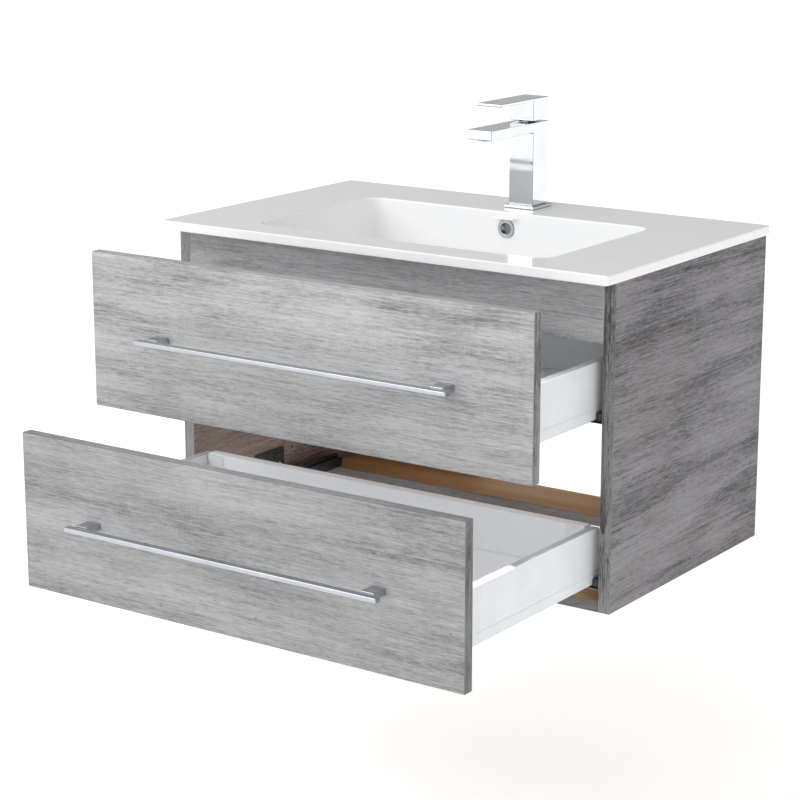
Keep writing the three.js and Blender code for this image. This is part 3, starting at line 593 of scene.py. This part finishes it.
def paint_frame():
    """Every CAD node takes its slot's material, and each grey board its own run of the print."""
    for row in frame["record"]["subparts"]:
        name = row["node"]
        if name in GREY_BOARDS:
            material = laminate("laminate_" + name, **GREY_BOARDS[name])
        elif name in BANDED_BOARDS:
            material = BANDED_BOARD
        else:
            material = SLOT_PAINT[row["material_slot"]]
        materials = frame["nodes"][name].data.materials
        materials.clear()
        materials.append(material)


def stand_for(node, bm, material, name=None, sharp=38):
    """Shows a finer mesh in place of a CAD node, riding on the node's body."""
    body = next(b for b, nodes in frame["record"]["behaviour"]["bodies"].items() if node in nodes)
    made = finish_mesh(name or node + "_fine", bm, material, body, sharp)
    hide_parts(node)


def middle(node):
    """The middle of a node's box."""
    low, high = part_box(node)
    return Vector((low[i] + high[i]) / 2 for i in range(3))


# ---------------------------------------------------------------- drawers

BAR_ROUNDING = 1.6 * MM
POST_ROUNDING = 0.8 * MM
WALL_SHEET = 1.25 * MM
WALL_BEND = 2.2 * MM
WALL_END_RADIUS = 9 * MM
CUT_EDGE = 0.3 * MM  # how far the sheet's cut edges are rounded
GROOVE_DEPTH = 0.7 * MM
GROOVE_EDGE = 0.6 * MM
GROOVE_HEIGHTS = (13.5 * MM, 15 * MM, 17 * MM, 18.5 * MM)  # of its corners, above the wall's lower edge
CLIP_BEND = 1.6 * MM
FENCE_SHEET = 2 * MM
FENCE_BEND = 8 * MM
OVERCUT = 1 * MM


def handles():
    """A square bar with rounded edges on two posts, on each drawer."""
    for row in ROWS:
        stem = row + "_drawer_handle_"
        bar = rounded_box(*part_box(stem + "bar"), BAR_ROUNDING, 4)
        stand_for(stem + "bar", bar, SHADED_CHROME)
        for side in SIDES:
            post = rounded_box(*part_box(stem + "post_" + side), POST_ROUNDING)
            stand_for(stem + "post_" + side, post, SHADED_CHROME)


def groove(x, base, depth, heights):
    """Corners of a line pressed that deep into a wall's face."""
    return [(x + d, base + h, GROOVE_EDGE) for d, h in zip((0, depth, depth, 0), heights)]


def drawer_wall(low, high):
    """A folded sheet with rolled top corners, a line pressed into each face and a rounded rear end."""
    base, top = low.z, high.z
    x0, x1 = low.x, high.x
    inside = WALL_BEND - WALL_SHEET
    outline = soft_corners([
        (x0, base, CUT_EDGE), *groove(x0, base, GROOVE_DEPTH, GROOVE_HEIGHTS),
        (x0, top, WALL_BEND), (x1, top, WALL_BEND),
        *groove(x1, base, -GROOVE_DEPTH, GROOVE_HEIGHTS[::-1]), (x1, base, CUT_EDGE),
        (x1 - WALL_SHEET, base, CUT_EDGE), (x1 - WALL_SHEET, top - WALL_SHEET, inside),
        (x0 + WALL_SHEET, top - WALL_SHEET, inside), (x0 + WALL_SHEET, base, CUT_EDGE),
    ])
    y, z = high.y - WALL_END_RADIUS, top - WALL_END_RADIUS
    corner = arc((y, z), WALL_END_RADIUS, 90, 0, 10)
    corner += [(high.y + OVERCUT, z), (high.y + OVERCUT, top + OVERCUT), (y, top + OVERCUT)]
    return carved(prism(outline, "y", low.y, high.y), [prism(corner, "x", x0 - OVERCUT, x1 + OVERCUT)])


def drawer_walls():
    for row in ROWS:
        for side in SIDES:
            node = f"{row}_drawer_side_{side}"
            stand_for(node, drawer_wall(*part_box(node)), WHITE_STEEL)


def bent_sheet(node, path, sheet, bend):
    """Stands a sheet with square bends along a path in plan in place of a node, as high as the node."""
    normals = []
    for (ax, ay), (bx, by) in zip(path, path[1:]):
        length = hypot(bx - ax, by - ay)
        normals.append(((ay - by) / length, (bx - ax) / length))
    outer, inner = [], []
    for i, (x, y) in enumerate(path):
        near = normals[max(i - 1, 0):i + 1]
        across, along = [sheet * sum(normal[k] for normal in near) for k in (0, 1)]
        bent = 0 < i < len(path) - 1
        outer.append((x, y, bend if bent else 0))
        inner.append((x + across, y + along, bend - sheet if bent else 0))
    low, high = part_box(node)
    bm = prism(soft_corners(outer + inner[::-1]), "z", low.z, high.z, CUT_EDGE, 2)
    stand_for(node, bm, WHITE_STEEL)


def clips_and_fence():
    """The clips that hold the drawer backs, and the fence round the upper drawer's cut-out."""
    for row in ROWS:
        for side in SIDES:
            node = f"{row}_drawer_back_clip_{side}"
            low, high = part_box(node)
            near, far = (low.x, high.x) if side == "left" else (high.x, low.x)
            path = [(far, low.y), (near, low.y), (near, high.y), (far, high.y)]
            if side == "left":
                path.reverse()
            bent_sheet(node, path, WALL_SHEET, CLIP_BEND)
    low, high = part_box("upper_drawer_fence")
    path = [(low.x, high.y), (low.x, low.y), (high.x, low.y), (high.x, high.y)]
    bent_sheet("upper_drawer_fence", path, FENCE_SHEET, FENCE_BEND)


# ---------------------------------------------------------------- runners

INWARD = {"left": 1, "right": -1}  # which way along X the middle of the cabinet lies
RUNNER_SHEET = 1.5 * MM
RUNNER_LINE = 20 * MM  # above the member's lowest edge; the heights of its parts are measured from here
WEB_DROP = 2.5 * MM
NOSE = 39 * MM  # at the front, where only the web is left
REAR_RADIUS = 8 * MM
PLATE_START = 147 * MM
PLATE_LENGTH = 73 * MM
PLATE_COLUMNS = 4
PLATE_SLOT = (13 * MM, 3 * MM)  # middle height, and both radius and half length of its straight part
PLATE_HOLES = ((26 * MM, 2 * MM), (34 * MM, 2 * MM))  # height and radius
PLATE_SCREWS = (159 * MM, 208 * MM)  # behind the front end
SCREWS_BELOW_TOP = 27 * MM
SCREW_RADIUS = 4.2 * MM
SCREW_HEIGHT = 2 * MM
RECESS = 0.01 * MM  # rounding of the cross recess


class Runner:
    """A fixed runner member: an inverted channel with rounded ends, a rib for the moving members, a slotted
    plate that rises against the cabinet side, and a guide block at the front."""

    def __init__(self, row, side):
        self.node = f"{row}_runner_cabinet_{side}"
        self.low, self.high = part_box(self.node)
        self.inward = INWARD[side]
        self.wall = self.low.x if self.inward > 0 else self.high.x
        self.line = self.low.z + RUNNER_LINE
        self.web = self.line - WEB_DROP
        self.front, self.back = self.low.y, self.high.y

    def across(self, near, far):
        """X of two places that many millimetres from the cabinet side, the lower first."""
        return sorted((self.wall + self.inward * near * MM, self.wall + self.inward * far * MM))

    def bar(self, across, y, z, rounding, segments=2):
        """A box with rounded edges between two places along each axis."""
        (x0, x1), (y0, y1), (z0, z1) = self.across(*across), y, z
        return rounded_box((x0, y0, z0), (x1, y1, z1), rounding, segments)

    def plate(self):
        """The slotted plate: columns of one slot and two round holes."""
        start, end = self.front + PLATE_START, self.front + PLATE_START + PLATE_LENGTH
        foot = self.web - RUNNER_SHEET
        outline = [(start, foot, 0), (end, foot, 0), (end, self.high.z, 2 * MM), (start, self.high.z, 2 * MM)]
        cuts = bmesh.new()
        up, radius = PLATE_SLOT
        for column in range(PLATE_COLUMNS):
            y = start + (column + 0.75) * PLATE_LENGTH / (PLATE_COLUMNS + 0.5)
            slot = arc((y, self.line + up + radius), radius, 0, 180, 8)
            slot += arc((y, self.line + up - radius), radius, 180, 360, 8)
            holes = [arc((y, self.line + height), size, 0, 330, 11) for height, size in PLATE_HOLES]
            for opening in (slot, *holes):
                into(cuts, prism(opening, "x", *self.across(-2, 4)))
        return carved(prism(soft_corners(outline), "x", *self.across(0, 1.5)), [cuts])

    def member(self):
        """The plate, both flanges, the web between them, a bead on the inner flange, and the rib."""
        under = self.web - RUNNER_SHEET
        rear = self.back - REAR_RADIUS
        bottom = self.low.z
        flange = soft_corners([
            (self.front, under, 0), (self.front + NOSE, under, 1.5 * MM), (self.front + NOSE, bottom, 3 * MM),
            (self.back, bottom, REAR_RADIUS), (self.back, self.web, REAR_RADIUS),
            (self.front, self.web, 1.5 * MM),
        ])
        bead_start = self.front + NOSE + 6 * MM
        return into(
            self.plate(),
            prism(flange, "x", *self.across(0, 1.5), 0.3 * MM, 2),
            prism(flange, "x", *self.across(20.5, 22), 0.5 * MM, 2),
            self.bar((0.5, 21.5), (self.front, rear), (under, self.web), 0.3 * MM),
            self.bar((21.7, 22.4), (bead_start, rear), (bottom + 6 * MM, bottom + 8.5 * MM), 0.3 * MM),
            self.bar((16.95, 18.45), (self.front, rear), (self.web, self.line + 4.5 * MM), 0.5 * MM),
        )

    def guide(self):
        """The block on the web at the front."""
        y = (self.front + 2 * MM, self.front + 22 * MM)
        return self.bar((0.2, 10.7), y, (self.web, self.line + 10 * MM), 1.2 * MM, 3)

    def screw(self, behind):
        """A pan-head screw with a cross recess in the plate, its head facing inward."""
        dome = [radians(degrees) for degrees in range(15, 90, 15)]
        head = [(0, 0), (SCREW_RADIUS, 0), (SCREW_RADIUS, SCREW_HEIGHT * 0.3)]
        head += [(SCREW_RADIUS * cos(a), SCREW_HEIGHT * (0.3 + 0.7 * sin(a))) for a in dome]
        long, wide = SCREW_RADIUS * 0.62, SCREW_RADIUS * 0.13
        low, high = (-long, -wide, SCREW_HEIGHT * 0.45), (long, wide, SCREW_HEIGHT * 2)
        recess = [tipped(rounded_box(low, high, RECESS, 1), "Z", degrees) for degrees in (0, 90)]
        made = tipped(carved(lathe((0, 0, 0), head + [(0, SCREW_HEIGHT)], 20), recess), "Y", 90 * self.inward)
        face = self.wall + self.inward * RUNNER_SHEET
        return moved(made, face, self.front + behind, self.high.z - SCREWS_BELOW_TOP)


def runners():
    for row in ROWS:
        for side in SIDES:
            runner = Runner(row, side)
            stand_for(runner.node, runner.member(), BLACK_STEEL)
            guide = finish_mesh(f"{row}_runner_guide_{side}", runner.guide(), BLACK_PLASTIC, "cabinet")


def runner_screws():
    for row in ROWS:
        for side in SIDES:
            runner = Runner(row, side)
            bm = into(*[runner.screw(behind) for behind in PLATE_SCREWS])
            finish_mesh(f"{row}_runner_screws_{side}", bm, ZINC, "cabinet")


# ---------------------------------------------------------------- sink top

# The corners of the bowl's inside, in the part's frame.
BOWL_LOW = Vector((-0.250, -0.418, -0.031))
BOWL_HIGH = Vector((0.250, -0.121, 0.064))
BOWL_CENTRE = ((BOWL_LOW.x + BOWL_HIGH.x) / 2, (BOWL_LOW.y + BOWL_HIGH.y) / 2)
BOWL_WALL = 6 * MM
BOWL_CORNER = 26 * MM
BOWL_FILLET = 24 * MM
BOWL_UNDER = BOWL_LOW.z - 8 * MM
LIP = 2.2 * MM
SLAB_UNDER = 50 * MM
SLAB_EDGE = 1.8 * MM
SLAB_CORNER = 4 * MM
SOLE_Z = -50 * MM
BOSS_TOP = 56 * MM
BOSS_FRONT = 12 * MM  # in front of the bowl's back
CASTING_EDGE = 1.5 * MM
CHANNEL_HALF = 16 * MM
CHANNEL_WALL = 3 * MM
CHANNEL_DEEP = 8 * MM
CHANNEL_EDGE = 1 * MM
OVERFLOW_HOLE = 12 * MM
DRAIN_HOLE = 21.75 * MM
DRAIN_RINGS = (75 * MM, 36 * MM, DRAIN_HOLE)  # circles that lead the bowl's floor into the drain hole
FAUCET_HOLE = 17 * MM
HAIR = 0.02 * MM  # by which the mesh that clears the bowl is smaller than the bowl
CORNER_STEPS = 10


def plan_ring(low, high, radius, z):
    """Points of a round-cornered rectangle at one height."""
    corners = ((high.x, low.y, -90), (high.x, high.y, 0), (low.x, high.y, 90), (low.x, low.y, 180))
    made = []
    for x, y, start in corners:
        centre = (x - radius if x > 0 else x + radius, y - radius if y == high.y else y + radius)
        made += [(u, v, z) for u, v in arc(centre, radius, start, start + 90, CORNER_STEPS)]
    return made


def round_ring(radius, z):
    """Points of a circle about the drain, in step with plan_ring's."""
    count = 4 * (CORNER_STEPS + 1)
    angles = [radians(-90 + 360 * (i + 0.5) / count) for i in range(count)]
    return [(BOWL_CENTRE[0] + radius * cos(a), BOWL_CENTRE[1] + radius * sin(a), z) for a in angles]


def bowl_ring(grow, z):
    """The bowl's outline at one height, grown by that much all round."""
    shift = Vector((grow, grow, 0))
    return plan_ring(BOWL_LOW - shift, BOWL_HIGH + shift, max(BOWL_CORNER + grow, 3 * MM), z)


def slab_and_bowl():
    """One skin over the slab's edge and top, down the bowl's inside, out through the drain hole, and back
    up the bowl's outside."""
    low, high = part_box("sink_top")
    deck, floor = high.z, BOWL_LOW.z

    def slab_ring(inset, z):
        shift = Vector((inset, inset, 0))
        corners = Vector((low.x, low.y, 0)) + shift, Vector((high.x, high.y, 0)) - shift
        return plan_ring(*corners, SLAB_CORNER, z)

    rings = [slab_ring(SLAB_EDGE - u, z) for u, z in arc((0, SLAB_UNDER + SLAB_EDGE), SLAB_EDGE, -90, 0, 5)]
    rings += [slab_ring(SLAB_EDGE - u, z) for u, z in arc((0, deck - SLAB_EDGE), SLAB_EDGE, 0, 90, 5)]
    rings += [bowl_ring(LIP - u, z) for u, z in arc((0, deck - LIP), LIP, 90, 0, 5)]
    inside = arc((0, floor + BOWL_FILLET), BOWL_FILLET, 0, -90, 10)
    rings += [bowl_ring(u - BOWL_FILLET, z) for u, z in inside]
    rings += [round_ring(radius, floor) for radius in DRAIN_RINGS]
    rings += [round_ring(radius, BOWL_UNDER) for radius in DRAIN_RINGS[::-1]]
    outside = arc((0, BOWL_UNDER + BOWL_FILLET), BOWL_FILLET, -90, 0, 8)
    rings += [bowl_ring(BOWL_WALL + u - BOWL_FILLET, z) for u, z in outside]
    rings += [bowl_ring(BOWL_WALL, SLAB_UNDER)]
    return skin(rings, closed=True)


def bowl_inside():
    """The bowl's hollow as a closed mesh, a hair smaller than the bowl."""
    fillet = arc((0, BOWL_LOW.z + BOWL_FILLET), BOWL_FILLET, -90, 0, 10)
    rings = [bowl_ring(u - BOWL_FILLET - HAIR, z + HAIR) for u, z in fillet]
    rings += [bowl_ring(-HAIR, BOWL_HIGH.z - 10 * MM)]
    return skin(rings, closed=False)


def sink():
    """Slab and bowl, with the overflow channel behind and under the bowl, and the holes."""
    cx, cy = BOWL_CENTRE
    half, outer = CHANNEL_HALF, CHANNEL_HALF + CHANNEL_WALL
    back = BOWL_HIGH.y + BOWL_WALL
    channel_low, channel_back = BOWL_UNDER - CHANNEL_DEEP, back + CHANNEL_DEEP
    overflow_z = middle("overflow_ring").z
    boss_back, sole_top = channel_back + CHANNEL_WALL, BOWL_UNDER + 3 * MM
    boss = rounded_box((-outer, BOWL_HIGH.y - BOSS_FRONT, SOLE_Z), (outer, boss_back, BOSS_TOP), CASTING_EDGE)
    sole = rounded_box((-outer, cy - outer, SOLE_Z), (outer, BOWL_HIGH.y, sole_top), CASTING_EDGE)
    drop = rounded_box((-half, back, channel_low), (half, channel_back, overflow_z + half), CHANNEL_EDGE)
    run = rounded_box((-half, cy, channel_low), (half, channel_back, BOWL_UNDER), CHANNEL_EDGE)
    overflow = tipped(cylinder(0, 0, OVERFLOW_HOLE, -15 * MM, 15 * MM), "X", 90)
    moved(overflow, 0, BOWL_HIGH.y, overflow_z)
    drain = cylinder(cx, cy, DRAIN_HOLE, -80 * MM, 0)
    shank = middle("faucet_shank")
    faucet = cylinder(shank.x, shank.y, FAUCET_HOLE, 30 * MM, 90 * MM)
    # The bowl's inside is cut again after the boss is joined, so that no boss stands in it.
    cuts = [bowl_inside(), drop, run, overflow, drain, faucet]
    bm = carved(slab_and_bowl(), cuts, joins=[boss, sole])
    stand_for("sink_top", bm, SINK_GLAZE, "sink_top_glazed", 42)


# ---------------------------------------------------------------- drain and overflow


def overflow_ring():
    """A short tube along Y with a flange and a rolled bead round its mouth."""
    low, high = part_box("overflow_ring")
    rim = (high.x - low.x) / 2
    bore, tube, bead = 8.5 * MM, 11.5 * MM, 1.1 * MM
    profile = [(bore, -5.5 * MM), (tube, -5.5 * MM), (tube, 0.25 * MM), (rim, 0.25 * MM)]
    profile += arc((rim - bead, 0.9 * MM), bead, 0, 90, 6) + arc((bore + bead, 0.9 * MM), bead, 90, 180, 6)
    ring = tipped(lathe((0, 0, 0), profile), "X", 90)
    front = min(vertex.co.y for vertex in ring.verts)
    centre = middle("overflow_ring")
    stand_for("overflow_ring", moved(ring, centre.x, low.y - front, centre.z), CHROME)


def drain_plug():
    """A domed cap on a stem."""
    low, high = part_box("drain_plug")
    centre = middle("drain_plug")
    top, radius, crown = high.z, (high.x - low.x) / 2, 3.5 * MM
    profile = [(0, low.z), (3.2 * MM, low.z), (4 * MM, low.z + MM), (4 * MM, top - 9.5 * MM)]
    profile += [(13 * MM, top - 6 * MM), (radius, top - 4.2 * MM)]
    angles = [radians(degrees) for degrees in range(0, 90, 9)]
    profile += [(radius * cos(a), top - crown + crown * sin(a)) for a in angles] + [(0, top)]
    stand_for("drain_plug", lathe((centre.x, centre.y, 0), profile), CHROME)


def drain_body():
    """A flanged cup that narrows to its outlet, with two bars that guide the plug's stem."""
    low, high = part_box("drain_body")
    centre = middle("drain_plug")
    floor, base = high.z - 2.5 * MM, low.z
    inner, waist, outlet, bead = 18 * MM, 21.5 * MM, 14.25 * MM, 1.1 * MM
    outlet_outer = outlet + 2.75 * MM
    rim = 32 * MM
    profile = [(inner, floor + 1.2 * MM), (inner, base + 12 * MM), (outlet, base + 6 * MM), (outlet, base)]
    profile += [(outlet_outer, base), (outlet_outer, base + 4 * MM), (waist, base + 10 * MM)]
    profile += [(waist, floor + 0.3 * MM), (rim, floor + 0.3 * MM)]
    profile += arc((rim - bead, floor + 1.4 * MM), bead, 0, 90, 5) + [(19.3 * MM, floor + 2.5 * MM)]
    bm = lathe((centre.x, centre.y, 0), profile, 72)
    for side in (-1, 1):
        x0, x1 = sorted((centre.x + side * (inner + MM), centre.x + side * 4.5 * MM))
        start, end = (x0, centre.y - 4 * MM, floor - 30 * MM), (x1, centre.y + 4 * MM, floor - 26 * MM)
        into(bm, rounded_box(start, end, 0.6 * MM, 2))
    stand_for("drain_body", bm, CHROME)


def drain_tailpiece():
    """A pipe with a collar at its top."""
    low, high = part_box("drain_tailpiece")
    centre = middle("drain_plug")
    base, top = low.z, high.z
    bore, pipe, collar = 14.25 * MM, 16 * MM, (high.x - low.x) / 2
    profile = [(bore, base), (pipe - 0.4 * MM, base), (pipe, base + 0.4 * MM), (pipe, top - 10 * MM)]
    profile += [(collar - 0.5 * MM, top - 9 * MM), (collar, top - 8.5 * MM), (collar, top - 0.5 * MM)]
    profile += [(collar - 0.5 * MM, top), (bore, top)]
    stand_for("drain_tailpiece", lathe((centre.x, centre.y, 0), profile), GREY_PLASTIC)


# ---------------------------------------------------------------- faucet

FAUCET_EDGE = 0.7 * MM
FAUCET_CORNER = 1.2 * MM
SPOUT_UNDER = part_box("faucet_aerator")[0].z + 2 * MM
COLUMN_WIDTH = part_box("faucet_body")[1].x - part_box("faucet_body")[0].x
LEVER_PLATE = 4.5 * MM
# Radius and height over the body of the ring under the lever, in millimetres.
COLLAR = (
    (12.6, 0.1), (14.7, 0.1), (15.0, 0.4), (15.0, 0.9),
    (14.7, 1.2), (13.2, 1.2), (13.1, 2.2), (12.6, 2.2),
)


def faucet_base_plate():
    plate = rounded_box(*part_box("faucet_base_plate"), 1.1 * MM, 4)
    stand_for("faucet_base_plate", plate, CHROME)


def faucet_body():
    """Column and spout in one, bored for the aerator and for the cartridge."""
    low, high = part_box("faucet_body")
    front, corner = high.y - COLUMN_WIDTH, FAUCET_CORNER
    outline = soft_corners([
        (high.y, low.z, 0), (high.y, high.z, corner), (low.y, high.z, corner), (low.y, SPOUT_UNDER, corner),
        (front, SPOUT_UNDER, 2 * MM), (front, low.z, 0),
    ])
    bore = cylinder(0, middle("faucet_aerator").y, 12 * MM, SPOUT_UNDER - 5 * MM, SPOUT_UNDER + 8 * MM)
    seat = cylinder(0, middle("faucet_cartridge_stem").y, 13 * MM, high.z - 22 * MM, high.z + 5 * MM)
    body = carved(prism(outline, "x", low.x, high.x, FAUCET_EDGE), [bore, seat])
    stand_for("faucet_body", body, CHROME)


def faucet_collar():
    """The ring in the gap under the lever, with a thin sleeve round the stem."""
    centre = (0, middle("faucet_cartridge_stem").y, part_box("faucet_body")[1].z)
    ring = lathe(centre, [(radius * MM, height * MM) for radius, height in COLLAR])
    finish_mesh("faucet_collar", ring, CHROME, "stem")


def faucet_aerator():
    """A cup with a raised rim under the spout."""
    top, floor, mouth = SPOUT_UNDER + 7 * MM, SPOUT_UNDER + 1 * MM, SPOUT_UNDER - 2 * MM
    rim, bore = 11.5 * MM, 9 * MM
    profile = [(0, top), (rim, top), (rim, mouth + 0.8 * MM), (rim - 0.8 * MM, mouth)]
    profile += [(bore + 0.6 * MM, mouth), (bore, mouth + 0.6 * MM), (bore, floor), (0, floor)]
    centre = (0, middle("faucet_aerator").y, 0)
    stand_for("faucet_aerator", lathe(centre, profile, 48), CHROME)


def faucet_lever():
    """A block with a thin plate over the spout, hollow where it covers the stem."""
    low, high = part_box("faucet_lever")
    front, corner = high.y - COLUMN_WIDTH, FAUCET_CORNER
    plate_low = high.z - LEVER_PLATE
    outline = soft_corners([
        (high.y, high.z, corner), (low.y, high.z, corner), (low.y, plate_low, corner),
        (front, plate_low, 1.5 * MM), (front, low.z, corner),
        (high.y - 20 * MM, low.z, corner), (high.y, low.z + 8 * MM, corner),
    ])
    stem_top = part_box("faucet_cartridge_stem")[1].z
    pocket = cylinder(0, middle("faucet_cartridge_stem").y, 17 * MM, low.z - 5 * MM, stem_top + 3 * MM)
    lever = carved(prism(outline, "x", low.x, high.x, FAUCET_EDGE), [pocket])
    stand_for("faucet_lever", lever, CHROME)


# ---------------------------------------------------------------- studio

FLOOR_Z = -0.79  # puts the sink top at its usual height above the floor
FLOOR_SIZE = 120
FLOOR_PALE = (0.93, 0.93, 0.93, 1.0)


def pale_floor():
    bm = bmesh.new()
    bmesh.ops.create_grid(bm, x_segments=1, y_segments=1, size=FLOOR_SIZE)
    mesh = bpy.data.meshes.new("floor")
    moved(bm, z=FLOOR_Z).to_mesh(mesh)
    bm.free()
    pale = Paint(
        "floor_pale", Base_Color=FLOOR_PALE, Roughness=0.9, Emission_Color=FLOOR_PALE, Emission_Strength=0.4)
    mesh.materials.append(pale.material)
    made = bpy.data.objects.new("floor", mesh)
    bpy.context.scene.collection.objects.link(made)


def surroundings():
    """A soft white room, brighter towards the front and left."""
    world = bpy.data.worlds.new("studio")
    bpy.context.scene.world = world
    world.use_nodes = True
    tree = world.node_tree
    direction = tree.nodes.new("ShaderNodeTexCoord").outputs["Generated"]
    toward = tree.nodes.new("ShaderNodeVectorMath")
    toward.operation = "DOT_PRODUCT"
    tree.links.new(direction, toward.inputs[0])
    toward.inputs[1].default_value = Vector((-0.25, -0.93, 0.2)).normalized()
    spread = tree.nodes.new("ShaderNodeMapRange")
    spread.interpolation_type = "SMOOTHSTEP"
    tree.links.new(toward.outputs["Value"], spread.inputs["Value"])
    for name, value in (("From Min", -0.9), ("From Max", 0.9), ("To Min", 0.42), ("To Max", 1.05)):
        spread.inputs[name].default_value = value
    background = tree.nodes["Background"].inputs
    background["Color"].default_value = (1.0, 1.0, 1.0, 1.0)
    tree.links.new(spread.outputs["Result"], background["Strength"])


def area_light(name, location, aim, size, power, spread=180):
    """A rectangle of light at a place, facing its aim; power in watts, spread in degrees."""
    light = bpy.data.lights.new(name, "AREA")
    light.shape = "RECTANGLE"
    light.size, light.size_y = size
    light.energy = power
    light.spread = radians(spread)
    made = bpy.data.objects.new(name, light)
    made.location = location
    made.rotation_euler = (Vector(aim) - Vector(location)).to_track_quat("-Z", "Y").to_euler()
    bpy.context.scene.collection.objects.link(made)


def camera():
    """From 35 degrees to the right of the front, looking 14 degrees down."""
    data = bpy.data.cameras.new("camera")
    data.sensor_width = 36
    data.lens = 104.8
    data.clip_end = 500
    made = bpy.data.objects.new("camera", data)
    made.location = (1.8675, -3.0737, 0.6473)
    made.rotation_euler = (radians(90 - 14.11), 0, radians(34.96))
    bpy.context.scene.collection.objects.link(made)
    bpy.context.scene.camera = made
    bpy.context.scene.view_settings.view_transform = "Standard"


camera()
pale_floor()
surroundings()
area_light("key", (-1.6, -3.4, 1.8), (0, -0.3, -0.1), (2.2, 2.2), 38)
area_light("into_drawers", (0, -0.7, 1.7), (0, -0.7, 0), (0.9, 0.1), 2.0, 14)
paint_frame()
handles()
drawer_walls()
clips_and_fence()
runners()
sink()
overflow_ring()
drain_plug()
drain_body()
drain_tailpiece()
faucet_base_plate()
faucet_body()
faucet_collar()
faucet_aerator()
faucet_lever()
runner_screws()
